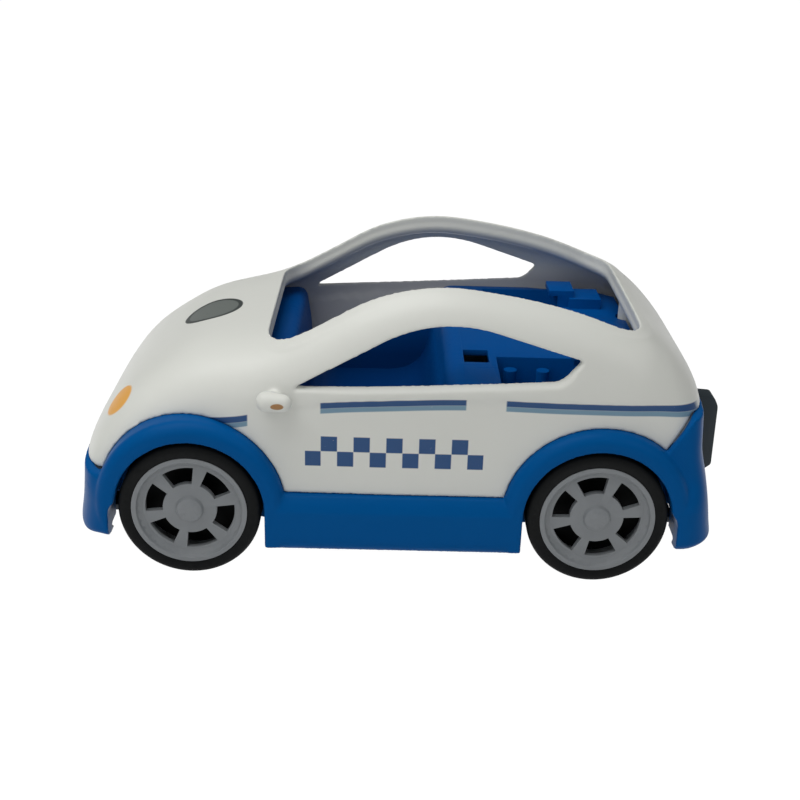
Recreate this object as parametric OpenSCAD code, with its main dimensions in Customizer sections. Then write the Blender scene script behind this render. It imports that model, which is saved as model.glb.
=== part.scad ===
// Toy police car: white upper shell on a blue lower body, with a seat tub and two rolling axles.
// Front of the car is -X, its left side is -Y, and the wheels stand on z = 0.

/* [Overall] */
// Distance between the two axles
wheelbase = 157; // [152:1:164]
// Nose ahead of the front axle
front_overhang = 47.5; // [46.5:0.5:52]
// Rear buffer's face behind the rear axle
rear_overhang = 60; // [57:0.5:64]
// Width over the doors
body_w = 133; // [130:1:142]
// Height of the roof crown that the rails follow
roof_h = 116; // [112:1:122]

/* [Upper shell] */
// Wall thickness of the shell
wall = 3.6; // [2.8:0.1:4.4]
// Height of the white nose above the ground
nose_h = 40; // [38:0.5:44]
// Bonnet's rear edge behind the front axle
cowl_back = 27; // [24:0.5:30]
// Height of the bonnet at its rear edge
cowl_h = 90.5; // [88:0.5:93]
// Roof crown ahead of the rear axle
crown_ahead = 64.5; // [60:0.5:70]
// White tail behind the rear axle
tail_back = 41.8; // [40:0.2:43]
// Nose corners, front to back
nose_corner = 24; // [20:1:28]
// Tail corners, front to back
tail_corner = 16; // [13:1:20]
// Half width of the bonnet at the front axle
bonnet_half_w = 63.5; // [62:0.5:65]
// Half width at the nose and the tail
end_half_w = 61.5; // [60:0.5:63]

/* [Openings] */
// Half width of the open roof
roof_open_half_w = 51; // [48:0.5:53]
// Rear edge of the open roof behind the rear axle
roof_open_back = 14.5; // [10:0.5:18]
// Height of the side window above its front tip
window_front_tall = 31; // [29:0.5:33]
// Height of the side window above its rear corner
window_rear_tall = 25.5; // [24:0.5:28]
// Front tip of the side window behind the bonnet's rear edge
window_front_back = 11; // [9:0.5:14]
// Rear corner of the side window ahead of the rear axle
window_rear_ahead = 18; // [15:0.5:22]
// Depth of the roof rail above the window's crown
rail_depth = 9; // [7:0.5:11]

/* [Lower body] */
// Wall thickness of the lower body
skirt_wall = 3; // [2.4:0.1:3.6]
// Underside of the bumpers and sills
skirt_bottom = 8.6; // [7:0.2:10]
// Top edge of the blue sill
sill_h = 34; // [32:0.5:37]
// Top edge of the blue rear corner
rear_corner_h = 68.3; // [66:0.5:70]
// Gap between the tyre and the arch
arch_gap = 1.4; // [1.2:0.1:2.2]
// Radial width of the arch flare
flare_band = 7.8; // [6.5:0.1:9]
// How far the flare stands out from the doors
flare_out = 4; // [3:0.5:5]
// Parting gap between the white shell and the blue body
seam = 0.2; // [0.15:0.05:0.4]

/* [Wheels] */
// Tyre radius
tyre_r = 27.4; // [26.5:0.1:28.2]
// Tyre width
tyre_w = 21; // [19:0.5:22]
// Tyre's outer face inside the lip of the arch
tyre_inset = 0.5; // [0.5:0.5:4]
// Radius where the tyre sits on the rim
rim_r = 22.2; // [21:0.1:23]
// Thickness of the rim's barrel
rim_wall = 2.4; // [1.8:0.1:3]
// Thickness of the spoke disc
spoke_t = 3; // [2.4:0.1:4]
// Spoke disc inside the tyre's outer face
spoke_inset = 2.2; // [1.5:0.1:3.5]
// Number of spokes
spokes = 6; // [5:1:7]
// Inner edge of the openings between the spokes
gap_inner_r = 10.4; // [9.5:0.1:12]
// Outer edge of the openings between the spokes
gap_outer_r = 17.2; // [16:0.1:18]
// Black web behind the spokes, above the wheel's inner face
web_in = 6; // [4:0.5:8]
// Thickness of the web
web_t = 2.5; // [2:0.1:4]
// Radius of the hub cap
hub_r = 5.4; // [4.8:0.1:6.5]
// Axle radius
axle_r = 2; // [1.5:0.1:2.5]
// Running clearance of the axle in its saddle, on the radius
axle_clear = 0.06; // [0.02:0.01:0.1]
// Clearance of the wheel on the axle, on the radius
press_clear = 0.01; // [0.01:0.01:0.02]

/* [Cabin tub] */
// Thickness of the tub's sheet
tub_t = 2.4; // [2:0.1:3]
// Clearance between the tub and the shell
tub_clear = 0.8; // [0.6:0.1:1.2]
// Height of the footwell and seat
seat_h = 36.5; // [35:0.5:40]
// Height of the dash
dash_h = 77; // [75:0.5:80]
// Height of the shelf behind the seat
shelf_h = 78; // [76:0.5:80]
// Top of the tub's side walls
tub_side_h = 60; // [57:0.5:64]
// Floor of the side trays above the wheel houses
tray_over = 1.65; // [1:0.05:4]
// Length of a side tray along the car
tray_len = 32; // [28:1:34]
// Width of a side tray across the car
tray_w = 29.5; // [24:0.5:30]
// Radius of the pegs in the trays
peg_r = 2.6; // [2:0.1:3]

/* [Base plate] */
// Underside of the base plate
base_h = 10; // [9.5:0.5:12]
// Thickness of the base plate
base_t = 2.5; // [2:0.1:3.5]
// Room between the plate and the wheel houses
spine_gap = 7.25; // [6:0.25:9]
// Length of an axle saddle along the car
saddle_len = 26; // [24:0.5:30]
// Width of an axle saddle across the car
saddle_w = 10; // [8:0.5:12]
// Height of the axle keeper above the axle's centre
keeper_t = 5; // [4:0.5:7]
// Radius of the screw shanks
screw_r = 1.5; // [1.2:0.1:1.8]
// Clearance of a screw in its hole, on the radius
screw_clear = 0.1; // [0.05:0.01:0.2]
// Radius of the screw heads
screw_head_r = 2.8; // [2.4:0.1:3.4]
// Height of the screw heads
screw_head_t = 1.4; // [1:0.1:1.6]

/* [Rear buffer] */
// Half width of the buffer
buffer_half_w = 4.5; // [4:0.5:7]
// Underside of the buffer
buffer_low = 18.5; // [17:0.5:21]
// Height of the buffer
buffer_tall = 34; // [30:0.5:38]

/* [Hidden] */
$fn = 48;

// Stations along the car, measured from the middle of the wheelbase
axle_f = -wheelbase / 2;
axle_b = wheelbase / 2;
nose_x = axle_f - front_overhang;
buffer_x = axle_b + rear_overhang;
cowl_x = axle_f + cowl_back;
crown_x = axle_b - crown_ahead;
tail_x = axle_b + tail_back;
car_shift = -(nose_x + buffer_x) / 2;
half_w = body_w / 2;

// Heights and radii that follow from the wheels
axle_z = tyre_r;
arch_r = tyre_r + arch_gap;
flare_r = arch_r + flare_band;
flare_y = half_w + flare_out;
tyre_face = flare_y - tyre_inset;
tyre_back = tyre_face - tyre_w;
house_gap = 1.75;
house_r = arch_r + house_gap;
house_wall = 2;
house_back = tyre_back - house_gap;
spine_half_w = house_back - house_wall - spine_gap;

// Window sills below the roof rail
sill_front_h = roof_h - rail_depth - window_front_tall;
sill_rear_h = roof_h - rail_depth - window_rear_tall;

// Base of the white shell's loft, hidden behind the blue body
loft_base = sill_h - 4;
base_top = base_h + base_t;

// White shell: [x, height, half width, squareness] along the top of the car
nose_in = 2.6;
loft_rows = [
    [nose_x + nose_in, loft_base, end_half_w, 4.5],
    [nose_x + nose_in, nose_h, end_half_w, 4.5],
    [nose_x + 7.3, nose_h + 11, end_half_w + 0.4, 4.5],
    [nose_x + 17.2, nose_h + 24.5, end_half_w + 0.8, 4.5],
    [nose_x + 30.2, nose_h + 35, bonnet_half_w - 0.6, 4.5],
    [axle_f, nose_h + 44.4, bonnet_half_w, 4.6],
    [cowl_x, cowl_h, half_w - 0.7, 5.4],
    [cowl_x + 20, cowl_h + 9.5, half_w - 0.3, 6],
    [crown_x - 23, roof_h - 4.6, half_w, 6.6],
    [crown_x, roof_h, half_w, 7],
    [crown_x + 24, roof_h - 2, half_w, 7],
    [crown_x + 52, roof_h - 7.8, half_w, 6.6],
    [tail_x - 30, roof_h - 16.5, half_w - 0.5, 6],
    [tail_x - 19, roof_h - 23, half_w - 1.5, 5.6],
    [tail_x - 9.8, roof_h - 31.5, half_w - 2.5, 5.2],
    [tail_x - 2.8, roof_h - 41, end_half_w + 1, 5],
    [tail_x, roof_h - 51, end_half_w, 4.8],
    [tail_x, roof_h - 64, end_half_w, 4.8],
    [tail_x, loft_base, end_half_w, 4.8]
];
row_steps = 2;
arc_step = 9;

// Blue skirt: [height, front, rear, half width] from the underside up
plan_square = 4.6;
skirt_rows = [
    [skirt_bottom, nose_x + 6, tail_x + 4.5, half_w - 2.5],
    [skirt_bottom + 2.6, nose_x + 0.6, tail_x + 7.4, half_w - 0.6],
    [skirt_bottom + 7, nose_x, tail_x + 7.6, half_w],
    [sill_h - 5.9, nose_x + 1.6, tail_x + 6, half_w],
    [nose_h + 1.2, nose_x + nose_in, tail_x + 3.4, half_w],
    [nose_h + 12.1, nose_x + nose_in, tail_x + 0.8, half_w - 0.4],
    [rear_corner_h - 6, nose_x + nose_in, tail_x, half_w - 1],
    [rear_corner_h + 3, nose_x + nose_in, tail_x - 0.6, half_w - 1.8]
];

// Places of the fixings
shell_posts = [[axle_f + 17, 24], [axle_b + 22.5, 24]];
tub_pillars = [[cowl_x + 27, 40], [axle_b - 21, 16]];
post_r = 4.4;
pillar_r = 4;
keeper_bolts = [[8, 1], [-8, -1]];
keeper_hole_r = screw_r + screw_clear;
saddle_mid_y = spine_half_w - saddle_w / 2;
buffer_pegs_z = [buffer_low + 8, buffer_low + 24];
buffer_peg_r = 2;

function unit(v) = v / norm(v);
function signed_pow(a, e) = sign(a) * pow(abs(a), e);

// Curve through the middle pair of four rows
function blend_rows(a, b, c, d, t) =
    0.5 * (2 * b + (c - a) * t + (2 * a - 5 * b + 4 * c - d) * t * t + (3 * b - 3 * c + d - a) * t * t * t);
function row_at(rows, i) = rows[max(0, min(len(rows) - 1, i))];
function smooth_rows(rows, steps) = [
    for (i = [0:len(rows) - 2], k = [0:steps - 1])
        blend_rows(row_at(rows, i - 1), rows[i], rows[i + 1], row_at(rows, i + 2), k / steps),
    rows[len(rows) - 1]
];

// Rows moved inwards by t along the profile, with their ends set at the given base
function inset_rows(rows, t, base) = [
    for (i = [0:len(rows) - 1])
        let (r = rows[i],
            run = unit([row_at(rows, i + 1)[0] - row_at(rows, i - 1)[0],
                row_at(rows, i + 1)[1] - row_at(rows, i - 1)[1]]),
            at_end = i == 0 || i == len(rows) - 1)
        [r[0] + run[1] * t, at_end ? base : r[1] - run[0] * t, r[2] - t, r[3]]
];

// A rounded corner at b between a and c, starting d away from it
function corner(a, b, c, d, n = 8) =
    let (p = b + unit(a - b) * d, q = b + unit(c - b) * d)
    [for (k = [0:n]) let (t = k / n) (1 - t) * (1 - t) * p + 2 * t * (1 - t) * b + t * t * q];
function rounded(pts, d, n = 8) = [
    for (i = [0:len(pts) - 1])
        each corner(pts[(i + len(pts) - 1) % len(pts)], pts[i], pts[(i + 1) % len(pts)], d[i], n)
];
function softened(pts, d, n = 6) = [
    pts[0],
    for (i = [1:len(pts) - 2]) each corner(pts[i - 1], pts[i], pts[i + 1], d[i], n),
    pts[len(pts) - 1]
];

// The path moved sideways by t
function beside(path, t) = [
    for (i = [0:len(path) - 1])
        let (a = unit(row_at(path, i) - row_at(path, i - 1 < 0 ? 0 : i - 1) + [1e-9, 0]),
            b = unit(row_at(path, i + 1) - path[i] + [1e-9, 0]),
            u = i == 0 ? b : i == len(path) - 1 ? a : unit(a + b),
            lean = i == 0 || i == len(path) - 1 ? 1 : max(0.5, u * b))
        path[i] + [u[1], -u[0]] * t / lean
];

// Points of one lofted section, from the left flank over the top to the right flank
function flank_x(x, first, last) =
    first + nose_corner + (x - first) * (last - tail_corner - first - nose_corner) / (last - first);
function section(r, base, first, last) = [
    for (a = [-90:arc_step:90])
        let (across = signed_pow(sin(a), 2 / r[3]), drop = 1 - pow(cos(a), 2 / r[3]))
        [r[0] + (flank_x(r[0], first, last) - r[0]) * drop, r[2] * across, r[1] + (base - r[1]) * drop]
];

// Closed solid over a grid of sections whose outer edges all lie on one plane
module loft(sections) {
    n = len(sections);
    m = len(sections[0]);
    walls = [
        for (i = [0:n - 2], j = [0:m - 2])
            each [[i * m + j, i * m + j + 1, (i + 1) * m + j + 1],
                [i * m + j, (i + 1) * m + j + 1, (i + 1) * m + j]]
    ];
    rim = concat(
        [for (i = [0:n - 1]) i * m],
        [for (j = [1:m - 1]) (n - 1) * m + j],
        [for (i = [n - 2:-1:0]) i * m + m - 1],
        [for (j = [m - 2:-1:1]) j]);
    polyhedron([for (s = sections) each s], concat(walls, [rim]), convexity = 8);
}

// The white car's outer form, set in by t
module car_form(t = 0, base = loft_base, steps = row_steps) {
    rows = smooth_rows(loft_rows, steps);
    inner = t == 0 ? rows : inset_rows(rows, t, base);
    loft([for (r = inner) section(r, base, inner[0][0], inner[len(inner) - 1][0])]);
}

// One level of the skirt, set in by t
function skirt_level(r, t, step) =
    let (front = r[1] + t, rear = r[2] - t, w = r[3] - t)
    [for (a = [0:step:360 - step])
        let (c = cos(a), s = sin(a), reach = c < 0 ? nose_corner : tail_corner,
            start = c < 0 ? front + reach : rear - reach)
        [start + reach * signed_pow(c, 2 / plan_square), w * signed_pow(s, 2 / plan_square), r[0]]];

// The blue body's outer form, set in by t and reaching past its ends by over
module skirt_form(t = 0, over = 0, step = arc_step) {
    last = len(skirt_rows) - 1;
    levels = [for (i = [0:last])
        let (r = skirt_rows[i], lift = i == 0 ? -over : i == last ? over : 0)
        skirt_level([r[0] + lift, r[1], r[2], r[3]], t, step)];
    m = len(levels[0]);
    walls = [
        for (i = [0:last - 1], j = [0:m - 1])
            let (k = (j + 1) % m)
            each [[i * m + j, (i + 1) * m + k, i * m + k], [i * m + j, (i + 1) * m + j, (i + 1) * m + k]]
    ];
    polyhedron([for (l = levels) each l],
        concat(walls, [[for (j = [0:m - 1]) j], [for (j = [m - 1:-1:0]) last * m + j]]), convexity = 6);
}

// Stands a side view, drawn as x and height, across the whole car
module across_car(w) {
    rotate([90, 0, 0]) linear_extrude(2 * w, center = true) children();
}

// Side view of everything blue, grown by g, round arches of radius r
module blue_zone(g, r) {
    far = 20;
    translate([axle_f, -far]) square([wheelbase, sill_h + g + far]);
    translate([nose_x - far, -far]) square([axle_f - nose_x + far, nose_h + g + far]);
    for (x = [axle_f, axle_b]) translate([x, axle_z]) circle(r, $fn = 64);
    polygon([[axle_b, -far], [axle_b, axle_z], [axle_b + 26 - g, nose_h + 15.5],
        [axle_b + 34 - g, rear_corner_h + g], [buffer_x + far, rear_corner_h + g], [buffer_x + far, -far]]);
}

// Side view of one side window
module window_outline() {
    tip = [cowl_x + window_front_back, sill_front_h];
    top = [crown_x, roof_h - rail_depth];
    rear_low = [axle_b - window_rear_ahead, sill_rear_h];
    rear_top = rear_low + [8, 8.6];
    polygon(rounded([tip, top, rear_top, rear_low], [3, 24, 2, 3]));
}

// Plan of the open windscreen and roof
module roof_outline() {
    front = cowl_x + 1.5;
    rear = axle_b + roof_open_back;
    w = roof_open_half_w;
    polygon(rounded([[front, -w], [rear, -w], [rear, w], [front, w]], [16, 14, 14, 16]));
}

// Places a child at both sides of the car
module both_sides() {
    children();
    mirror([0, 1, 0]) children();
}

module mirror_pod() {
    x = cowl_x + 6.5;
    z = sill_front_h - 2.3;
    hull() {
        translate([x - 3.2, -half_w - 2.6, z]) sphere(4, $fn = 20);
        translate([x + 3, -half_w - 3, z - 0.3]) sphere(3.4, $fn = 20);
    }
    hull() {
        translate([x - 2, -half_w - 1, z]) sphere(3, $fn = 20);
        translate([x - 1, -half_w + 3, z]) sphere(2.4, $fn = 20);
    }
}

// Post under the bonnet or the tail, with a screw hole in its foot and a foot wider than its top
module shell_post(at) {
    difference() {
        intersection() {
            hull() {
                translate([at[0], at[1], base_top]) cylinder(r = post_r, h = 1, $fn = 32);
                translate([at[0], at[1], roof_h]) cylinder(r = post_r - 0.8, h = 1, $fn = 32);
            }
            union() {
                car_form(wall / 2, loft_base, 1);
                translate([at[0], at[1], 0]) cylinder(r = 2 * post_r, h = loft_base + 1);
            }
        }
        translate([at[0], at[1], 0]) cylinder(r = screw_r + screw_clear, h = base_top + 20, $fn = 24);
    }
}

module upper_shell() {
    color("whitesmoke") {
        difference() {
            car_form();
            car_form(wall, loft_base - 1, 1);
            across_car(half_w + 20) blue_zone(seam, flare_r + seam);
            across_car(half_w + 20) window_outline();
            translate([0, 0, sill_rear_h - 10]) linear_extrude(roof_h) roof_outline();
        }
        both_sides() {
            difference() {
                mirror_pod();
                car_form(wall / 2, loft_base, 1);
            }
            for (at = shell_posts) shell_post(at);
        }
    }
}

// Half section of an arch flare, drawn as radius and distance from the car's middle
module flare_section() {
    root = half_w - 2.5;
    inner = arch_r - 2;
    round_r = 4.6;
    polygon(concat(
        [[inner, root], [inner, flare_y]],
        [for (a = [90:-22.5:0]) [flare_r - round_r + round_r * cos(a), flare_y - round_r + round_r * sin(a)]],
        [[flare_r, root]]));
}

// Flare over the left rear wheel: a straight leg at the sill, and a faired end at the bumper
module flare() {
    leg = axle_z - skirt_bottom - 3;
    below = 16;
    fair_r = 4.52;
    side_y = flare_y - fair_r - 0.38;
    rotate([90, 0, 0]) rotate([0, 0, -below]) rotate_extrude(angle = 180 + below, $fn = 48) flare_section();
    mirror([1, 0, 0]) translate([0, 0, -leg]) rotate([0, 0, -90]) mirror([1, 0, 0])
        linear_extrude(leg) mirror([1, -1, 0]) flare_section();
    hull() for (y = [side_y, side_y - 7]) {
        translate([flare_r - fair_r - 0.6, -y, 6]) sphere(fair_r, $fn = 14);
        translate([flare_r + 1.4, -y, skirt_bottom - axle_z + 8.4]) sphere(fair_r, $fn = 14);
    }
}

// Room for the left rear wheel out to the car's side: round above the axle, wider at the bumper below it
module arch_room() {
    low = axle_z + 1;
    rotate([90, 0, 0]) linear_extrude(flare_y + 5) {
        circle(arch_r, $fn = 52);
        polygon([[-arch_r, -low], [-arch_r, 0], [arch_r, 0], [arch_r, -6.6], [arch_r + 3.4, -7.2],
            [arch_r + 5.4, -9.5], [arch_r + 6.4, -low]]);
    }
}

// Places a child at every wheel, with its +x towards the bumper and its outside towards -y
module at_arches() {
    both_sides() for (turn = [0, 1]) mirror([turn, 0, 0]) translate([axle_b, 0, axle_z]) children();
}

// Box round one left wheel: the shell of the wheel house, or the room in it when g is 0
module wheel_house(g) {
    low = g > 0 ? axle_z - skirt_bottom - 3 : axle_z + 5;
    outer = half_w - (g > 0 ? 1.4 : 4);
    depth = outer - house_back + g;
    r = house_r + g;
    translate([0, -outer, 0]) intersection() {
        hull() {
            rotate([-90, 0, 0]) cylinder(r = r, h = depth, $fn = 24);
            translate([-r, 0, -low]) cube([2 * r, depth, 1]);
        }
        translate([-2 * r, -depth, -low]) cube([4 * r, 3 * depth, 4 * r]);
    }
}

module lower_body() {
    color("royalblue") difference() {
        union() {
            intersection() {
                difference() {
                    skirt_form();
                    skirt_form(skirt_wall, 1, 2 * arc_step);
                }
                across_car(half_w + 20) blue_zone(0, flare_r - 2.1);
            }
            at_arches() {
                flare();
                wheel_house(house_wall);
            }
        }
        at_arches() {
            wheel_house(0);
            difference() {
                arch_room();
                translate([-100, -house_back - 3, -100]) cube([200, 200, 200]);
            }
            rotate([90, 0, 0]) cylinder(r = axle_r + 3, h = half_w, $fn = 20);
        }
        for (z = buffer_pegs_z) translate([tail_x - 20, 0, z])
            rotate([0, 90, 0]) cylinder(r = buffer_peg_r + 0.2, h = 50, $fn = 16);
    }
}

// Inner half width of the shell at the doors, less the tub's clearance
tub_half_w = half_w - wall - tub_clear;
seat_back_x = axle_b - 66;
dash_x = cowl_x + 9.5;
shelf_end = axle_b + 21;
tray_side = 4;
tray_x = seat_back_x + 27;
tray_floor = axle_z + house_r + house_wall + tub_t + tray_over;

// Side view of the tub's sheet: dash, footwell, seat, backrest and shelf
tub_path = softened([
    [cowl_x - 3, dash_h], [dash_x, dash_h], [dash_x + 2.5, (seat_h + dash_h) / 2 + 4],
    [dash_x + 3, seat_h], [seat_back_x, seat_h], [seat_back_x + 7.5, shelf_h], [shelf_end, shelf_h]],
    [0, 5, 5, 5, 16, 6, 0]);

// Plan of the tub, narrower under the bonnet and the tail
module tub_outline() {
    w = tub_half_w;
    narrow = tub_half_w - 6.2;
    polygon([[cowl_x - 5, -narrow - 0.4], [dash_x + 3, -w + 2.6], [dash_x + 14, -w], [axle_b - 18, -w],
        [shelf_end - 6, -narrow], [shelf_end, -narrow + 5], [shelf_end, narrow - 5], [shelf_end - 6, narrow],
        [axle_b - 18, w], [dash_x + 14, w],
        [dash_x + 3, w - 2.6], [cowl_x - 5, narrow + 0.4]]);
}

module shelf_blocks() {
    // Low housings on the rear end of the shelf
    for (side = [-1, 1]) translate([shelf_end - 32, side * (roof_open_half_w - 9), shelf_h - 1]) {
        translate([0, -7, 0]) cube([11, 14, 8.5]);
        translate([9, -9, 0]) cube([14, 15, 5.5]);
        translate([-22, -4, 0]) cube([16, 8, 4]);
    }
}

module side_tray(grow) {
    // Tray sunk in the shelf beside each window
    translate([tray_x - grow, -tub_half_w + tray_side - grow, tray_floor - grow])
        cube([tray_len + 2 * grow, tray_w + 2 * grow, shelf_h - tray_floor + 5]);
}

module cabin_tub() {
    slot = [10, 13.5];
    slot_y = 28.2;
    color("mediumblue") {
        difference() {
            union() {
                intersection() {
                    across_car(tub_half_w + 1) polygon(concat(tub_path, [for (i = [len(tub_path) - 1:-1:0])
                        beside(tub_path, tub_t)[i]]));
                    linear_extrude(roof_h) tub_outline();
                }
                // Side walls between the wheel houses
                for (side = [-1, 1])
                    translate([dash_x + 14, side * (tub_half_w - tub_t / 2 - 0.4) - tub_t / 2, seat_h - tub_t / 2])
                        cube([seat_back_x - dash_x - 9, tub_t, tub_side_h - seat_h + tub_t / 2]);
                shelf_blocks();
                both_sides() intersection() {
                    side_tray(tub_t);
                    translate([-500, -500, 0]) cube([1000, 1000, shelf_h]);
                }
            }
            both_sides() side_tray(0);
            for (at = shell_posts, side = [-1, 1]) translate([at[0], side * at[1], 0])
                cylinder(r = post_r + tub_clear, h = roof_h);
            for (side = [-1, 1]) translate([seat_back_x + 14, side * slot_y - slot[1] / 2, shelf_h - 10])
                cube([slot[0], slot[1], 20]);
        }
        // Pegs that stand in the trays
        for (side = [-1, 1], dx = [5.5, 18.5])
            translate([tray_x + dx, side * (tub_half_w - tray_side - tray_w + 4.5), tray_floor - 0.5])
                cylinder(r = peg_r, h = shelf_h - tray_floor - 3);
    }
}

// Outline of the base plate, seen from below
module base_outline() {
    end_gap = 10;
    mid = axle_b - house_r - house_wall - 2;
    translate([nose_x + end_gap, -spine_half_w])
        square([tail_x - nose_x - 2 * end_gap + 6, 2 * spine_half_w]);
    wide = half_w - skirt_wall - 3.2;
    translate([-mid, -wide]) square([2 * mid, 2 * wide]);
}

module base_plate() {
    color("slategray") difference() {
        union() {
            translate([0, 0, base_h]) linear_extrude(base_t) base_outline();
            for (x = [axle_f, axle_b], side = [-1, 1])
                translate([x - saddle_len / 2, side * saddle_mid_y - saddle_w / 2, base_h])
                    cube([saddle_len, saddle_w, axle_z - base_h]);
            for (at = tub_pillars, side = [-1, 1]) translate([at[0], side * at[1], base_h])
                cylinder(r = pillar_r, h = (at[0] < 0 ? seat_h : shelf_h) - tub_t - base_h);
        }
        for (x = [axle_f, axle_b]) {
            translate([x, 0, axle_z]) rotate([90, 0, 0])
                cylinder(r = axle_r + axle_clear, h = 4 * half_w, center = true);
            for (b = keeper_bolts) translate([x + b[0], b[1] * saddle_mid_y, axle_z - 10])
                cylinder(r = keeper_hole_r, h = 20);
        }
        for (at = shell_posts, side = [-1, 1]) translate([at[0], side * at[1], base_h - 1]) {
            cylinder(r = screw_r + screw_clear, h = 20);
            cylinder(r = screw_head_r + 0.3, h = screw_head_t + 1);
        }
    }
}

module axle_keeper(x) {
    color("slategray") difference() {
        translate([x - saddle_len / 2, -spine_half_w, axle_z]) cube([saddle_len, 2 * spine_half_w, keeper_t]);
        translate([x, 0, axle_z]) rotate([90, 0, 0])
            cylinder(r = axle_r + axle_clear, h = 4 * half_w, center = true);
        translate([x - saddle_len / 2 + 5, -saddle_mid_y + saddle_w / 2, axle_z + 3])
            cube([saddle_len - 10, 2 * saddle_mid_y - saddle_w, keeper_t]);
        for (b = keeper_bolts) translate([x + b[0], b[1] * saddle_mid_y, axle_z - 1])
            cylinder(r = keeper_hole_r, h = keeper_t + 2);
    }
}

module screw(length) {
    // Stands head up, with the underside of its head at z = 0
    translate([0, 0, -length]) cylinder(r = screw_r, h = length);
    cylinder(r = screw_head_r, h = screw_head_t);
}

module keeper_screws() {
    color("silver") for (x = [axle_f, axle_b], b = keeper_bolts)
        translate([x + b[0], b[1] * saddle_mid_y, axle_z + keeper_t]) screw(keeper_t + 9);
}

module body_screws() {
    color("silver") for (at = shell_posts, side = [-1, 1])
        translate([at[0], side * at[1], base_h + screw_head_t]) mirror([0, 0, 1]) screw(base_t + 14);
}

module axle(x) {
    color("lightsteelblue") translate([x, 0, axle_z]) rotate([90, 0, 0])
        cylinder(r = axle_r, h = 2 * (tyre_face - spoke_inset - spoke_t), center = true);
}

// Half section of a rim, drawn as radius and height above the wheel's inner face
module rim_section() {
    top = tyre_w - spoke_inset;
    hub_tall = 2.4;
    polygon([[0, top - spoke_t], [0, top + hub_tall], [hub_r - 2.2, top + hub_tall - 0.2],
        [hub_r - 0.6, top + hub_tall - 1], [hub_r, top], [rim_r - rim_wall - 1.6, top - 0.8],
        [rim_r - rim_wall, top + 0.4], [rim_r - rim_wall + 0.6, tyre_w - 0.4], [rim_r, tyre_w - 0.4],
        [rim_r, web_in + web_t], [rim_r - rim_wall, web_in + web_t], [rim_r - rim_wall, top - spoke_t - 1.2],
        [rim_r - rim_wall - 2, top - spoke_t]]);
}

// One opening between two spokes, seen from the wheel's outer face
module spoke_gap() {
    spread = 360 / spokes * 0.35;
    far = 2 * gap_outer_r;
    tall = 3 * tyre_w;
    difference() {
        intersection() {
            cylinder(r = gap_outer_r, h = tall, center = true, $fn = 96);
            linear_extrude(tall + 2, center = true)
                polygon([[0, 0], far * [cos(spread), -sin(spread)], far * [cos(spread), sin(spread)]]);
        }
        cylinder(r = gap_inner_r, h = tall + 4, center = true, $fn = 96);
    }
}

// Stands a wheel part, drawn with its outer face up, at one axle and side
module at_wheel(x, side) {
    translate([x, side * tyre_back, axle_z]) rotate([-90 * side, 0, 0]) children();
}

module rim(x, side, turn) {
    color("lightgray") at_wheel(x, side) difference() {
        union() {
            rotate_extrude($fn = 96) rim_section();
            translate([0, 0, -1.5]) cylinder(r = hub_r - 1.5, h = tyre_w - spoke_inset - spoke_t + 2);
        }
        for (k = [0:spokes - 1]) rotate([0, 0, turn + k * 360 / spokes]) spoke_gap();
        translate([0, 0, -5]) cylinder(r = axle_r + press_clear, h = 5 + tyre_w - spoke_inset - spoke_t);
    }
}

// Half section of a tyre, drawn as radius and height above the wheel's inner face
module tyre_section() {
    shoulder = 2.6;
    polygon(concat([[rim_r, 0.8], [tyre_r - 2, 0], [tyre_r, 2]],
        [for (a = [0:15:75]) [tyre_r - shoulder + shoulder * cos(a), tyre_w - shoulder + shoulder * sin(a)]],
        [[tyre_r - shoulder, tyre_w], [rim_r, tyre_w - 0.6]]));
}

module tyre(x, side) {
    bore = hub_r - 1.5 + press_clear;
    color("black") at_wheel(x, side) rotate_extrude($fn = 96) {
        tyre_section();
        translate([bore, web_in]) square([rim_r + 1 - bore, web_t]);
    }
}

module rear_buffer() {
    top = buffer_low + buffer_tall;
    against = [for (r = skirt_rows) if (r[0] > buffer_low && r[0] < top - 1) [r[2] + seam, r[0]]];
    outside = softened([[tail_x + 1 + seam, top + 1], [buffer_x - 2.4, top], [buffer_x - 0.4, top - 4],
        [buffer_x, buffer_low + 2.4], [buffer_x - 3, buffer_low], [tail_x + 7.2 + seam, buffer_low - 0.6]],
        [0, 1.4, 1.4, 1, 1, 0]);
    color("darkslategray") {
        across_car(buffer_half_w) polygon(concat(outside, against));
        for (z = buffer_pegs_z) translate([tail_x - 6, 0, z])
            rotate([0, 90, 0]) cylinder(r = buffer_peg_r, h = 14);
    }
}

module in_place() {
    translate([car_shift, 0, 0]) children();
}

in_place() upper_shell();
in_place() lower_body();
in_place() cabin_tub();
in_place() base_plate();
in_place() rear_buffer();
in_place() axle(axle_f);  // front_axle
in_place() axle(axle_b);  // rear_axle
in_place() axle_keeper(axle_f);  // front_axle_keeper
in_place() axle_keeper(axle_b);  // rear_axle_keeper
in_place() keeper_screws();
in_place() body_screws();
in_place() rim(axle_f, -1, 45);  // rim_front_left
in_place() rim(axle_f, 1, 45);  // rim_front_right
in_place() rim(axle_b, -1, 40);  // rim_rear_left
in_place() rim(axle_b, 1, 40);  // rim_rear_right
in_place() tyre(axle_f, -1);  // tyre_front_left
in_place() tyre(axle_f, 1);  // tyre_front_right
in_place() tyre(axle_b, -1);  // tyre_rear_left
in_place() tyre(axle_b, 1);  // tyre_rear_right
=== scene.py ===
import math

import bpy
from mathutils import Euler, Matrix, Vector


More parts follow.
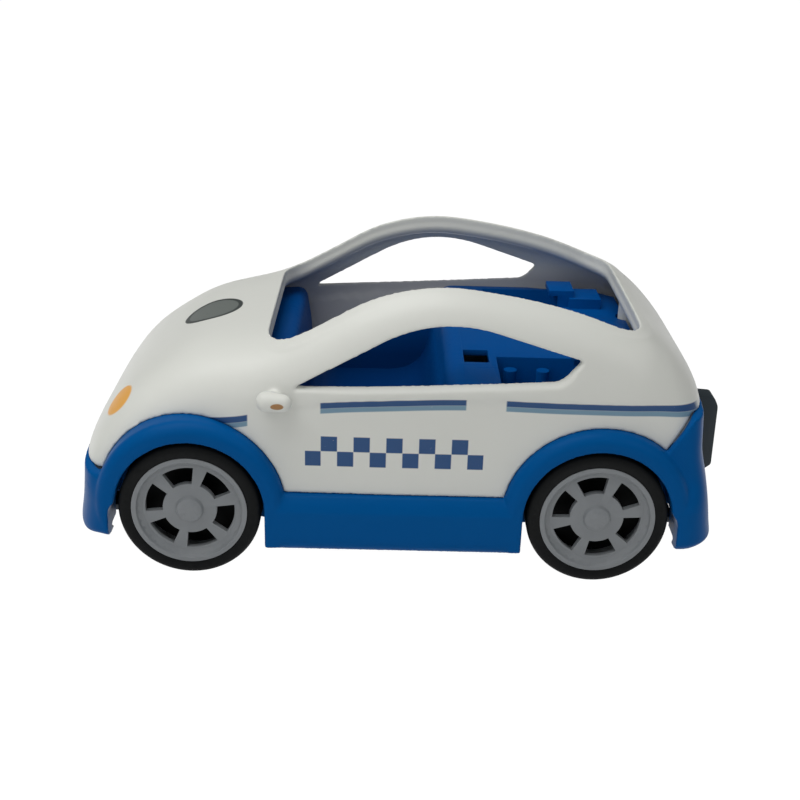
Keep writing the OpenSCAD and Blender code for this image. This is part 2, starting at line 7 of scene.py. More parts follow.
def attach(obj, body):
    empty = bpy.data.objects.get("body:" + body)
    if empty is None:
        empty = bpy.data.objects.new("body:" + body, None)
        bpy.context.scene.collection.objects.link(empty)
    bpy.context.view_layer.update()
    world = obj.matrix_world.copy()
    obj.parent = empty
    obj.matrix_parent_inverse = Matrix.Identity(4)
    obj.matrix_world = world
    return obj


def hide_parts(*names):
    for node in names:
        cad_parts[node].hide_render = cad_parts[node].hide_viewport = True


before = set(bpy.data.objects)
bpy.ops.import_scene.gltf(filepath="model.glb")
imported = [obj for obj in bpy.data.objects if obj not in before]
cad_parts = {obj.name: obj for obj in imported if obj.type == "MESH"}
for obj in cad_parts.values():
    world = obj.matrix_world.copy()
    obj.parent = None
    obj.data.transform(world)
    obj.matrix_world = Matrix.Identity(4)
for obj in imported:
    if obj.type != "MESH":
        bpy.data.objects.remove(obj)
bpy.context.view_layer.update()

# Sizes are in millimetres from the middle of the wheelbase; the car's own middle is CAR_SHIFT from there.
MM = 0.001
CAR_SHIFT = -6.25
AXLE_F, AXLE_B, AXLE_Z = -78.5, 78.5, 27.4
NOSE_X, TAIL_X, COWL_X, CROWN_X = -126.0, 120.3, -51.5, 14.0
HALF_W, ROOF_H, NOSE_H, SILL_H = 66.5, 116.0, 40.0, 34.0
END_HALF_W, BONNET_HALF_W = 61.5, 63.5
NOSE_CORNER, TAIL_CORNER, NOSE_IN = 24.0, 16.0, 2.6
WALL, SKIRT_WALL, SKIRT_BOTTOM = 3.6, 3.0, 8.6
LOFT_BASE, REAR_CORNER_H = 30.0, 68.3
ARCH_R, FLARE_R, FLARE_Y = 28.8, 36.6, 70.5
TYRE_FACE, TYRE_W = 70.0, 21.0
HOUSE_GAP, HOUSE_WALL = 1.75, 2.0
HOUSE_BACK = TYRE_FACE - TYRE_W - HOUSE_GAP
BASE_TOP = 12.5

# Opening in the roof, and the bead along its edge
ROOF_OPEN_X = (COWL_X + 1.5, AXLE_B + 14.5)
ROOF_OPEN_HALF_W, ROOF_OPEN_LOW = 51, 71.5
ROOF_OPEN_CORNERS = [16, 14, 14, 16]
BEAD_R, BEAD_SINK = 3.5, 0.5

# Door mirrors, and the posts that stand on the floor plate
MIRROR_X, MIRROR_Z = COWL_X + 6.5, 73.7
POST_R, POST_Y = 4.2, 24
POST_TOPS = ((AXLE_F + 17, 84), (AXLE_B + 22.5, 86))

# Where the bumpers end beside the wheels, how far their cheeks and the sills stand out to be level with the
# flares, and how far the skirt's lower edge is raised at the bumpers, beside the wheels and at the sills
BUMPER_NEAR, BUMPER_FAR = 96, 106
CHEEK_OUT = 4.0
BUMPER_LIFT, WHEEL_LIFT, SILL_LIFT = 3.2, 2.6, 2.3
LIFT_TOP = 24

# How far the room inside the skirt runs on past its raised lower edge, so that no skin is left across it
INSIDE_OVER = 6.5

# White shell along the top of the car: x, height, half width, squareness
LOFT_ROWS = [
    (NOSE_X + NOSE_IN, LOFT_BASE, END_HALF_W, 4.5),
    (NOSE_X + NOSE_IN, NOSE_H, END_HALF_W, 4.5),
    (NOSE_X + 7.3, NOSE_H + 11, END_HALF_W + 0.4, 4.5),
    (NOSE_X + 17.2, NOSE_H + 24.5, END_HALF_W + 0.8, 4.5),
    (NOSE_X + 30.2, NOSE_H + 35, BONNET_HALF_W - 0.6, 4.5),
    (AXLE_F, NOSE_H + 44.4, BONNET_HALF_W, 4.6),
    (COWL_X, 90.5, HALF_W - 0.7, 5.4),
    (COWL_X + 20, 100.0, HALF_W - 0.3, 6),
    (CROWN_X - 23, ROOF_H - 4.6, HALF_W, 6.6),
    (CROWN_X, ROOF_H, HALF_W, 7),
    (CROWN_X + 24, ROOF_H - 2, HALF_W, 7),
    (CROWN_X + 52, ROOF_H - 7.8, HALF_W, 6.6),
    (TAIL_X - 30, ROOF_H - 16.5, HALF_W - 0.5, 6),
    (TAIL_X - 19, ROOF_H - 23, HALF_W - 1.5, 5.6),
    (TAIL_X - 9.8, ROOF_H - 31.5, HALF_W - 2.5, 5.2),
    (TAIL_X - 2.8, ROOF_H - 41, END_HALF_W + 1, 5),
    (TAIL_X, ROOF_H - 51, END_HALF_W, 4.8),
    (TAIL_X, ROOF_H - 64, END_HALF_W, 4.8),
    (TAIL_X, LOFT_BASE, END_HALF_W, 4.8),
]

# Blue skirt from the underside up: height, front, rear, half width
SKIRT_ROWS = [
    (SKIRT_BOTTOM, NOSE_X + 6, TAIL_X + 4.5, HALF_W - 2.5),
    (SKIRT_BOTTOM + 2.6, NOSE_X + 0.6, TAIL_X + 7.4, HALF_W - 0.6),
    (SKIRT_BOTTOM + 7, NOSE_X, TAIL_X + 7.6, HALF_W),
    (SILL_H - 5.9, NOSE_X + 1.6, TAIL_X + 6, HALF_W),
    (NOSE_H + 1.2, NOSE_X + NOSE_IN, TAIL_X + 3.4, HALF_W),
    (NOSE_H + 12.1, NOSE_X + NOSE_IN, TAIL_X + 0.8, HALF_W - 0.4),
    (REAR_CORNER_H - 6, NOSE_X + NOSE_IN, TAIL_X, HALF_W - 1),
    (REAR_CORNER_H + 3, NOSE_X + NOSE_IN, TAIL_X - 0.6, HALF_W - 1.8),
]
SKIRT_SQUARE = 4.6

# Belt line along the doors, as x and height
BELT = [(-80, 62.9), (-62, 64.6), (-45, 69.4), (-28.5, 72.0), (0, 74.0), (26, 75.0), (41, 74.9), (60, 74.4), (80, 74.0),
        (97, 73.4), (108, 72.4), (118, 71.2)]
BELT_STEP = 0.7
BELT_FRONT, BELT_REAR = (-52, -36), (98, 110)

# How far a tool reaches past what it cuts
PAST = 20

# Voxel size, smoothing passes and triangles of the two large mouldings
SHELL_MOULD = (0.5, 16, 190000)
BODY_MOULD = (0.55, 12, 185000)


# ---- shaping tools

def deselect():
    if bpy.context.object and bpy.context.object.mode != "OBJECT":
        bpy.ops.object.mode_set(mode="OBJECT")
    bpy.ops.object.select_all(action="DESELECT")


def take(piece):
    deselect()
    piece.select_set(True)
    bpy.context.view_layer.objects.active = piece


def signed_pow(value, power):
    return math.copysign(abs(value) ** power, value)


def smoothstep(low, high, value):
    t = min(1.0, max(0.0, (value - low) / (high - low)))
    return t * t * (3 - 2 * t)


def along(points, x):
    """Height of a line through points at x, held level beyond its ends."""
    if x <= points[0][0]:
        return points[0][1]
    for (x0, z0), (x1, z1) in zip(points, points[1:]):
        if x <= x1:
            return z0 + (z1 - z0) * (x - x0) / (x1 - x0)
    return points[-1][1]


def smooth_rows(rows, steps):
    """A smooth curve through the rows, with steps between each pair."""
    last = len(rows) - 1
    out = []
    for i in range(last):
        a, b, c, d = (rows[max(0, min(last, k))] for k in (i - 1, i, i + 1, i + 2))
        for k in range(steps):
            t = k / steps
            out.append(tuple(
                0.5 * (2 * q + (r - p) * t + (2 * p - 5 * q + 4 * r - s) * t ** 2 + (3 * q - 3 * r + s - p) * t ** 3)
                for p, q, r, s in zip(a, b, c, d)))
    return out + [rows[last]]


def inset_rows(rows, depth, base):
    """The rows moved inwards by depth along the profile, with their ends on base."""
    last = len(rows) - 1
    out = []
    for i, (x, h, w, n) in enumerate(rows):
        before, after = rows[max(0, i - 1)], rows[min(last, i + 1)]
        run = Vector((after[0] - before[0], after[1] - before[1])).normalized()
        out.append((x + run.y * depth, base if i in (0, last) else h - run.x * depth, w - depth, n))
    return out


def place(point):
    """A point of the car in the frame, in metres."""
    return Vector((point[0] + CAR_SHIFT, point[1], point[2])) * MM


def lofted(name, rings, ring_closed):
    """A closed form through rings of points, shaped on a grid."""
    deselect()
    rows = [ring + ring[:1] for ring in rings] if ring_closed else rings
    columns = len(rows[0])
    bpy.ops.mesh.primitive_grid_add(x_subdivisions=columns - 1, y_subdivisions=len(rows) - 1, size=1)
    piece = bpy.context.object
    piece.name = name
    for i, row in enumerate(rows):
        for j, point in enumerate(row):
            piece.data.vertices[i * columns + j].co = place(point)
    bpy.ops.object.mode_set(mode="EDIT")
    bpy.ops.mesh.select_all(action="SELECT")
    bpy.ops.mesh.remove_doubles(threshold=1e-6)
    bpy.ops.mesh.fill_holes(sides=0)
    bpy.ops.mesh.select_all(action="SELECT")
    bpy.ops.mesh.normals_make_consistent(inside=False)
    bpy.ops.object.mode_set(mode="OBJECT")
    return piece


def prism(name, outline, low, high, axis):
    """An outline raised to a block: along y from its side view, or along z from its plan."""
    deselect()
    bpy.ops.mesh.primitive_circle_add(vertices=len(outline), radius=1, fill_type="NGON")
    piece = bpy.context.object
    piece.name = name
    for vertex, (u, v) in zip(piece.data.vertices, outline):
        vertex.co = place((u, low, v) if axis == "y" else (u, v, low))
    rise = (high - low) * MM
    bpy.ops.object.mode_set(mode="EDIT")
    bpy.ops.mesh.select_all(action="SELECT")
    bpy.ops.mesh.extrude_region_move(
        TRANSFORM_OT_translate={"value": (0, rise, 0) if axis == "y" else (0, 0, rise)})
    bpy.ops.mesh.select_all(action="SELECT")
    bpy.ops.mesh.normals_make_consistent(inside=False)
    bpy.ops.object.mode_set(mode="OBJECT")
    return piece


def wrapped(name, balls):
    """One taut form round several balls, each given as centre and radius."""
    deselect()
    made = []
    for centre, radius in balls:
        bpy.ops.mesh.primitive_uv_sphere_add(segments=32, ring_count=20, radius=radius * MM, location=place(centre))
        bpy.ops.object.transform_apply(location=True, rotation=False, scale=False)
        made.append(bpy.context.object)
    piece = joined(name, made)
    bpy.ops.object.mode_set(mode="EDIT")
    bpy.ops.mesh.select_all(action="SELECT")
    bpy.ops.mesh.convex_hull()
    bpy.ops.object.mode_set(mode="OBJECT")
    return piece


def joined(name, pieces):
    deselect()
    for piece in pieces:
        piece.select_set(True)
    bpy.context.view_layer.objects.active = pieces[0]
    bpy.ops.object.join()
    pieces[0].name = name
    return pieces[0]


def mirrored(piece, axis, about=0.0):
    """A copy of a form, turned over across the plane at about."""
    copy = piece.copy()
    copy.data = piece.data.copy()
    bpy.context.collection.objects.link(copy)
    for vertex in copy.data.vertices:
        vertex.co[axis] = 2 * about - vertex.co[axis]
    copy.data.flip_normals()
    return copy


def apply_modifier(piece, kind, **settings):
    take(piece)
    modifier = piece.modifiers.new(kind.lower(), kind)
    for key, value in settings.items():
        setattr(modifier, key, value)
    bpy.ops.object.modifier_apply(modifier=modifier.name)


def carve(piece, tool, operation="DIFFERENCE"):
    """Cuts, joins or trims a form by another, which is used up."""
    apply_modifier(piece, "BOOLEAN", object=tool, operation=operation, solver="MANIFOLD")
    bpy.data.objects.remove(tool)


def moulded(piece, voxel, passes, triangles):
    """Softens all the edges of a form as a mould does, and evens out its faces."""
    # Turned askew for the voxels, so that no long face lies along their layers
    askew = Euler((0.61, 0.47, 0.36)).to_matrix().to_4x4()
    piece.data.transform(askew)
    apply_modifier(piece, "REMESH", mode="VOXEL", voxel_size=voxel * MM, adaptivity=0.0)
    apply_modifier(piece, "SMOOTH", factor=0.5, iterations=passes)
    piece.data.transform(askew.inverted())
    count = sum(len(face.vertices) - 2 for face in piece.data.polygons)
    if count > triangles:
        apply_modifier(piece, "DECIMATE", ratio=triangles / count)
    take(piece)
    bpy.ops.object.shade_smooth()


def finished(piece, name, body, slot, finish, *nodes):
    """Names a piece, puts it on its body and gives it its finish."""
    piece.name = name
    piece.data.name = name
    piece.data.materials.clear()
    piece.data.materials.append(finish)
    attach(piece, body)
    if nodes:
        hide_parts(*nodes)


def rounded(points, reach, steps=8):
    """An outline with each corner rounded from reach away."""
    out = []
    count = len(points)
    for i in range(count):
        a, b, c = (Vector(points[k % count]) for k in (i - 1, i, i + 1))
        p, q = b + (a - b).normalized() * reach[i], b + (c - b).normalized() * reach[i]
        for k in range(steps + 1):
            t = k / steps
            out.append(tuple((1 - t) ** 2 * p + 2 * t * (1 - t) * b + t ** 2 * q))
    return out


def stationed(points, step):
    """An outline with no side longer than step."""
    out = []
    for a, b in zip(points, points[1:] + points[:1]):
        count = max(1, math.ceil(math.dist(a, b) / step))
        out += [tuple(Vector(a).lerp(Vector(b), k / count)) for k in range(count)]
    return out


def arc(x, z, radius, first, last, steps):
    """Points on an arc about x, z between two angles in degrees."""
    angles = [math.radians(first + (last - first) * k / steps) for k in range(steps + 1)]
    return [(x + radius * math.cos(a), z + radius * math.sin(a)) for a in angles]


# ---- white shell

def even_angles(count):
    """Angles that space points evenly over a squarish section."""
    tries, wide, high, power = 4000, 65, 60, 0.4
    fine = [k * math.pi / 2 / tries for k in range(tries + 1)]
    path = [(wide * math.sin(a) ** power, high * max(0.0, math.cos(a)) ** power) for a in fine]
    run = [0.0]
    for p, q in zip(path, path[1:]):
        run.append(run[-1] + math.dist(p, q))
    half, k = [], 0
    for i in range(count + 1):
        while k < tries and run[k] < run[-1] * i / count:
            k += 1
        half.append(fine[k])
    return [-a for a in reversed(half[1:])] + half


def car_form(name, depth, base, steps, count):
    """The white car's whole outer form, or the same set in by depth."""
    rows = smooth_rows(LOFT_ROWS, steps)
    if depth:
        rows = inset_rows(rows, depth, base)
    first, last = rows[0][0], rows[-1][0]
    rings = []
    for x, h, w, n in rows:
        flank = first + NOSE_CORNER + (x - first) * (last - TAIL_CORNER - first - NOSE_CORNER) / (last - first)
        ring = []
        for a in even_angles(count):
            across = signed_pow(math.sin(a), 2 / n)
            drop = 1 - max(0.0, math.cos(a)) ** (2 / n)
            px, py, pz = x + (flank - x) * drop, w * across, h + (base - h) * drop
            if abs(py) > 0.8 * w:
                under = smoothstep(-0.3, 1.2, along(BELT, px) - pz)
                reach = smoothstep(*BELT_FRONT, px) * (1 - smoothstep(*BELT_REAR, px))
                py -= math.copysign(BELT_STEP * under * reach, py)
            ring.append((px, py, pz))
        rings.append(ring)
    return lofted(name, rings, False)


def blue_zone(name, grow, radius):
    """Block that covers all that is blue, seen from the side."""
    top, end, rear_h = NOSE_H + grow, TAIL_X + 2 * PAST, REAR_CORNER_H + grow
    rise = math.degrees(math.asin((top - AXLE_Z) / radius))
    sill_rise = math.degrees(math.asin((SILL_H + grow - AXLE_Z) / radius))
    outline = [(NOSE_X - PAST, -PAST), (NOSE_X - PAST, top)]
    outline += arc(AXLE_F, AXLE_Z, radius, 180 - rise, sill_rise, 60)
    rear_low, rear_top = (AXLE_B + 26 - grow, NOSE_H + 15.5), (AXLE_B + 34 - grow, rear_h)
    meet = math.degrees(math.atan2(rear_low[1] - AXLE_Z, rear_low[0] - AXLE_B))
    outline += arc(AXLE_B, AXLE_Z, radius, 180 - sill_rise, meet, 60)
    outline += [rear_top, (end, rear_h), (end, -PAST)]
    return prism(name, outline, -HALF_W - PAST, HALF_W + PAST, "y")


def roof_height(x, y):
    """Height of the white car's outer form over a place in the plan."""
    rows = smooth_rows(LOFT_ROWS, 6)
    h, w, n = (along([(row[0], row[k]) for row in rows], x) for k in (1, 2, 3))
    return LOFT_BASE + (h - LOFT_BASE) * max(0.0, 1 - abs(y / w) ** n) ** (1 / n)


def rolled_edge(plan):
    """Round bead along the edge of the roof opening."""
    count, rings = len(plan), []
    for i in range(count + 1):
        before, here, after = (Vector(plan[k % count]) for k in (i - 1, i, i + 1))
        run = (after - before).normalized()
        out = Vector((run.y, -run.x))
        middle = here + out * (BEAD_R - BEAD_SINK)
        z = roof_height(middle.x, middle.y) - BEAD_R - BEAD_SINK
        rings.append([(middle.x + out.x * u, middle.y + out.y * u, z + v)
                      for u, v in arc(0, 0, BEAD_R, 0, 345, 23)])
    return lofted("bead", rings, True)


def window_form():
    """Block for both side windows: widest at the skin, and smaller at the wall's inner face."""
    reach, steps = [3, 24, 2, 3], 12
    corners = [(COWL_X + 11, 76.0), (CROWN_X, ROOF_H - 9), (AXLE_B - 9.0, 90.3), (AXLE_B - 17.0, 81.5)]

    def moved(*shifts):
        return rounded([(u + du, v + dv) for (u, v), (du, dv) in zip(corners, shifts)], reach, steps)

    waist = rounded(corners, reach, steps)
    lip = moved((-1.6, -1.0), (0, 1.2), (1.6, 0.5), (1.0, -1.4))
    left = moved((1.2, 0.8), (0, -0.2), (-0.6, 0), (-0.6, 0.6))
    right = moved((2.2, 1.2), (0, -0.5), (-5.4, -0.9), (-3.4, 1.5))
    skin, mid, back = HALF_W - 0.3, HALF_W - 2.0, HALF_W - WALL - 0.2
    rings = [(-HALF_W - PAST, lip), (-skin, lip), (-mid, waist), (-back, left), (0, left), (1, right), (back, right),
             (mid, waist), (skin, lip), (HALF_W + PAST, lip)]
    return lofted("window", [[(u, y, v) for u, v in outline] for y, outline in rings], True)


def make_shell():
    """The white moulding with its openings, mirrors, posts and rolled edge."""
    shell = car_form("shell", 0, LOFT_BASE, 9, 64)
    carve(shell, car_form("hollow", WALL, LOFT_BASE - 1, 6, 40))
    carve(shell, blue_zone("blue side", 0.05, FLARE_R))
    carve(shell, window_form())
    (front, rear), w = ROOF_OPEN_X, ROOF_OPEN_HALF_W
    roof = stationed(rounded([(front, -w), (rear, -w), (rear, w), (front, w)], ROOF_OPEN_CORNERS, 12), 2.5)
    carve(shell, prism("roof", roof, ROOF_OPEN_LOW, ROOF_H + 2 * PAST, "z"))
    pods = []
    x, z = MIRROR_X, MIRROR_Z
    for side in (-1, 1):
        pods.append(wrapped("pod", [((x - 3.2, side * (HALF_W + 2.6), z), 4),
                                    ((x + 3, side * (HALF_W + 3), z - 0.3), 3.4)]))
        pods.append(wrapped("stalk", [((x - 2, side * (HALF_W + 1), z), 3), ((x - 1, side * (HALF_W - 1.5), z), 2.4)]))
    posts = [prism("post", arc(px, side * POST_Y, POST_R, 0, 345, 23), BASE_TOP + 0.3, top_z, "z")
             for px, top_z in POST_TOPS for side in (-1, 1)]
    shell = joined("shell", [shell, rolled_edge(roof)] + pods + posts)
    moulded(shell, *SHELL_MOULD)
    return shell


# ---- blue lower body

def at_bumper(x):
    """How far a place belongs to the front or the rear bumper, from 0 to 1."""
    return 1 - smoothstep(-BUMPER_FAR, -BUMPER_NEAR, x) + smoothstep(BUMPER_NEAR, BUMPER_FAR, x)


def bottom_lift(x, share):
    """How far the skirt's lower edge is raised: a little at the sills, more at the bumpers and beside the wheels."""
    front = smoothstep(NOSE_X + 4, NOSE_X + 14, x) * (1 - smoothstep(-100, -92, x))
    bumper = BUMPER_LIFT * at_bumper(x) + WHEEL_LIFT * (front + smoothstep(BUMPER_NEAR, BUMPER_FAR, x))
    if x > 0:
        bumper *= smoothstep(0.5, 0.95, abs(share))
    return bumper + SILL_LIFT * (1 - at_bumper(x))


def cheek(x, z):
    """How far the sill, and the bumper's cheek beside a wheel, stand out to be level with the flare."""
    ends = smoothstep(NOSE_X + 1, NOSE_X + 17, x) * (1 - smoothstep(TAIL_X - 8, TAIL_X + 6, x))
    bumper = ends * at_bumper(x) * (1 - smoothstep(31, 44, z))
    sill = (1 - at_bumper(x)) * (1 - smoothstep(SILL_H - 4.2, SILL_H - 0.2, z))
    return CHEEK_OUT * (bumper + sill)


def skirt_plan(front, rear, turns=240, straight=60):
    """Places round the skirt's plan, as x and the share of its half width."""
    ahead, behind = front + NOSE_CORNER, rear - TAIL_CORNER
    side = [behind + (ahead - behind) * (k + 0.5) / straight for k in range(straight)]

    def turn(first):
        for k in range(turns):
            a = math.radians(first + (k + 0.5) * 180 / turns)
            c, s = math.cos(a), math.sin(a)
            start, reach = (ahead, NOSE_CORNER) if c < 0 else (behind, TAIL_CORNER)
            yield start + reach * signed_pow(c, 2 / SKIRT_SQUARE), signed_pow(s, 2 / SKIRT_SQUARE)

    return list(turn(-90)) + [(x, 1.0) for x in side] + list(turn(90)) + [(x, -1.0) for x in reversed(side)]


def skirt_form(name, depth, over):
    """The blue body's outer form, or the room inside it: set in by depth, and longer by over at top and bottom."""
    rows = smooth_rows(SKIRT_ROWS, 4)
    rings = []
    for i, (z, front, rear, w) in enumerate(rows):
        z += -over if i == 0 else over if i == len(rows) - 1 else 0
        near_bottom = 1 - smoothstep(SKIRT_BOTTOM, LIFT_TOP, z)
        rings.append([(x, (w - depth + (0 if depth else cheek(x, z))) * share, z + bottom_lift(x, share) * near_bottom)
                      for x, share in skirt_plan(front + depth, rear - depth)])
    return lofted(name, rings, True)


def flare(root):
    """Flare over the left rear wheel, from its leg at the sill to its end at the bumper, and in to root."""
    inner, round_r = ARCH_R - 2, 4.6
    section = [(inner, root), (inner, FLARE_Y)]
    section += [(FLARE_R - round_r + round_r * math.cos(math.radians(a)),
                 FLARE_Y - round_r + round_r * math.sin(math.radians(a))) for a in range(90, -1, -10)]
    section.append((FLARE_R, root))
    leg = AXLE_Z - SKIRT_BOTTOM - SILL_LIFT - 1.2
    rings = [[(AXLE_B - r, -y, AXLE_Z - leg) for r, y in section]]
    sweep, steps = 196, 65
    for k in range(steps + 1):
        a = math.radians(180 - k * sweep / steps)
        rings.append([(AXLE_B + r * math.cos(a), -y, AXLE_Z + r * math.sin(a)) for r, y in section])
    return lofted("flare", rings, True)


def wheel_house(grow):
    """Room round the left rear wheel, or the walls round that room where it is grown."""
    r = ARCH_R + HOUSE_GAP + grow
    low, sill_low = (AXLE_Z - 2, SKIRT_BOTTOM + 3) if grow else (-5, -5)
    outer = HALF_W - (1.4 if grow else 4)
    outline = [(AXLE_B + r, low)] + arc(AXLE_B, AXLE_Z, r, 0, 180, 48) + [(AXLE_B - r, sill_low)]
    return prism("house", outline, -outer, -HOUSE_BACK + grow, "y")


def cheek_core():
    """Solid end of the bumper behind its cheek."""
    near, far, low, high = AXLE_B + 25.5, AXLE_B + 35.5, 17, 36
    return prism("core", [(near, low), (far, low), (far, high), (near, high)], -66, -54, "y")


def arch_room():
    """Opening of the left rear arch."""
    r = ARCH_R
    outline = [(AXLE_B - r, -1.0)] + arc(AXLE_B, AXLE_Z, r, 180, 6, 64)
    # Notch between the arch and the bumper's end
    outline += [(AXLE_B + r + 1.0, AXLE_Z + 1.6), (AXLE_B + r + 2.0, AXLE_Z + 0.2), (AXLE_B + r + 2.5, AXLE_Z - 2.2),
                (AXLE_B + r + 2.7, AXLE_Z - 12.0), (AXLE_B + r + 2.7, -1.0)]
    return prism("arch room", outline, -FLARE_Y - 5, -HOUSE_BACK - 3, "y")


def both_sides(piece):
    """A form made for the left side, and its mirror image."""
    return [piece, mirrored(piece, 1)]


def at_front(pieces):
    """Forms made for the rear wheels, turned over to the front ones."""
    turned = [mirrored(piece, 0, CAR_SHIFT * MM) for piece in pieces]
    for piece in pieces:
        bpy.data.objects.remove(piece)
    return turned


def all_corners(form):
    """A form made for the left rear wheel, at all four."""
    return both_sides(form()) + at_front(both_sides(form()))


def make_lower_body():
    """The blue moulding with its flares, bumper ends and wheel houses."""
    body = skirt_form("lower", 0, 0)
    carve(body, skirt_form("inside", SKIRT_WALL, INSIDE_OVER))
    carve(body, blue_zone("blue side", 0, FLARE_R - 2.1), "INTERSECT")
    flares = both_sides(flare(HALF_W - 8.5)) + at_front(both_sides(flare(HALF_W - 12.5)))
    for piece in flares + all_corners(cheek_core) + all_corners(lambda: wheel_house(HOUSE_WALL)):
        carve(body, piece, "UNION")
    for piece in all_corners(lambda: wheel_house(0)) + all_corners(arch_room):
        carve(body, piece)
    moulded(body, *BODY_MOULD)
    return body


# ---- pieces that keep the solid's shape, with its edges eased

def eased_copy(node, width, segments=2, angle=32):
    """A copy of a solid with its edges eased by width."""
    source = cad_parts[node]
    piece = source.copy()
    piece.data = source.data.copy()
    bpy.context.collection.objects.link(piece)
    piece.parent = None
    piece.matrix_world.identity()
    take(piece)
    bpy.ops.object.mode_set(mode="EDIT")
    bpy.ops.mesh.select_all(action="SELECT")
    bpy.ops.mesh.remove_doubles(threshold=2e-6)
    bpy.ops.mesh.dissolve_limited(angle_limit=math.radians(0.4))
    bpy.ops.object.mode_set(mode="OBJECT")
    apply_modifier(piece, "BEVEL", width=width * MM, segments=segments, limit_method="ANGLE",
                   angle_limit=math.radians(angle))
    take(piece)
    bpy.ops.object.shade_smooth_by_angle(angle=math.radians(angle))
    return piece


# ---- finishes

def linear(*rgb):
    """A colour given in display steps of 0 to 255, as light."""
    return tuple((v / 255 / 12.92 if v <= 10 else ((v / 255 + 0.055) / 1.055) ** 2.4) for v in rgb) + (1.0,)


class Field:
    """A value over a surface, with sums written as plain expressions."""

    def __init__(self, finish, socket):
        self.finish, self.socket = finish, socket

    def _with(self, operation, first, second, clamp=False):
        return self.finish.node("ShaderNodeMath", {"operation": operation, "use_clamp": clamp}, {0: first, 1: second})

    def __add__(self, other):
        return self._with("ADD", self, other)

    def __sub__(self, other):
        return self._with("SUBTRACT", self, other)

    def __mul__(self, other):
        return self._with("MULTIPLY", self, other)

    def __radd__(self, other):
        return self._with("ADD", other, self)

    def __rsub__(self, other):
        return self._with("SUBTRACT", other, self)

    def __rmul__(self, other):
        return self._with("MULTIPLY", other, self)

    def __abs__(self):
        return self._with("ABSOLUTE", self, 0.0)

    def most(self, other):
        return self._with("MAXIMUM", self, other)

    def over(self, edge, blur):
        """1 where the value is above edge, 0 below it, softened over blur."""
        return ((self - edge) * (1 / blur) + 0.5).held()

    def held(self):
        return self._with("ADD", self, 0.0, True)


class Finish:
    """A material and the nodes that make it."""

    def __init__(self, name, colour, roughness, **constants):
        self.material = bpy.data.materials.new(name)
        self.material.use_nodes = True
        self.tree = self.material.node_tree
        self.shader = self.tree.nodes["Principled BSDF"]
        self.shader.inputs["Base Color"].default_value = colour
        self.shader.inputs["Roughness"].default_value = roughness
        for key, value in constants.items():
            self.shader.inputs[key.replace("_", " ")].default_value = value
        self.coords = self.node("ShaderNodeTexCoord", out="Object")

    def node(self, kind, settings=None, inputs=None, out=0):
        """Adds a node with its settings and inputs, and gives one of its outputs."""
        node = self.tree.nodes.new(kind)
        for key, value in (settings or {}).items():
            if key == "curve":
                points = node.mapping.curves[0].points
                for k, point in enumerate(value):
                    if k in (0, len(value) - 1):
                        points[0 if k == 0 else -1].location = point
                    else:
                        points.new(*point)
                node.mapping.update()
            else:
                setattr(node, key, value)
        for key, value in (inputs or {}).items():
            if isinstance(value, Field):
                self.tree.links.new(value.socket, node.inputs[key])
            else:
                node.inputs[key].default_value = value
        return Field(self, node.outputs[out])

    def axes(self):
        """The place on the piece, in millimetres from the middle of the wheelbase."""
        x, y, z = self.parts(self.coords)
        return x * 1000 - CAR_SHIFT, y * 1000, z * 1000

    def parts(self, vector):
        """The three parts of a vector."""
        split = self.node("ShaderNodeSeparateXYZ", None, {0: vector}).socket.node
        return [Field(self, split.outputs[k]) for k in range(3)]

    def noise(self, size, detail=3.0, rough=0.5, stretch=None):
        """Cloudy values from 0 to 1 with features of about size millimetres."""
        coords = self.coords
        if stretch:
            coords = self.node("ShaderNodeMapping", None, {"Vector": coords, "Scale": stretch})
        return self.node("ShaderNodeTexNoise", None, {
            "Vector": coords, "Scale": 1000 / size, "Detail": detail, "Roughness": rough})

    def mixed(self, amount, first, second):
        return self.node("ShaderNodeMix", {"data_type": "RGBA"}, {0: amount, 6: first, 7: second}, out=2)

    def give(self, socket, value):
        self.tree.links.new(value.socket, self.shader.inputs[socket])

    def bump(self, height, strength, distance):
        self.give("Normal", self.node("ShaderNodeBump", None, {
            "Height": height, "Strength": strength, "Distance": distance * MM}))


def moulded_plastic(finish, colour, worn, base_rough, grain, prints=()):
    """Colour, prints, wear and skin of a played-with plastic moulding; prints are masks with their colours."""
    smudge = finish.noise(38, 4, 0.6)
    scratch = finish.noise(2.2, 2, 0.6, (0.06, 1.0, 1.0)).over(0.66, 0.1)
    nick = finish.noise(1.3, 3, 0.7).over(0.72, 0.06) * finish.noise(26, 2).over(0.55, 0.2)
    faded = finish.mixed(0.06 + 0.10 * smudge, colour, worn)
    for mask, ink in prints:
        faded = finish.mixed(mask * (1.0 - 0.03 * smudge), faded, ink)
    finish.give("Base Color", finish.mixed(0.35 * nick, faded, worn))
    finish.give("Roughness", base_rough - 0.05 + 0.14 * smudge + 0.12 * scratch)
    skin = finish.noise(0.55, 2) * 0.55 + finish.noise(5.5, 2) * 0.45 - 0.25 * scratch
    finish.bump(skin, grain, 0.05)


BLUE = linear(0, 84, 150)
BLUE_WORN = linear(12, 92, 156)
WHITE = (0.80, 0.81, 0.755, 1.0)
WHITE_WORN = (0.66, 0.655, 0.60, 1.0)
# Grey painted as shade on the inner walls of the white shell
WHITE_PAINTED_SHADE = (0.47, 0.475, 0.48, 1.0)
PRINT_DARK = linear(16, 70, 124)
PRINT_LIGHT = linear(118, 152, 172)
PRINT_ORANGE = linear(240, 176, 84)
PRINT_BROWN = linear(168, 122, 72)
DISC_GREY = linear(108, 114, 110)
DISC_DARK = linear(62, 68, 66)

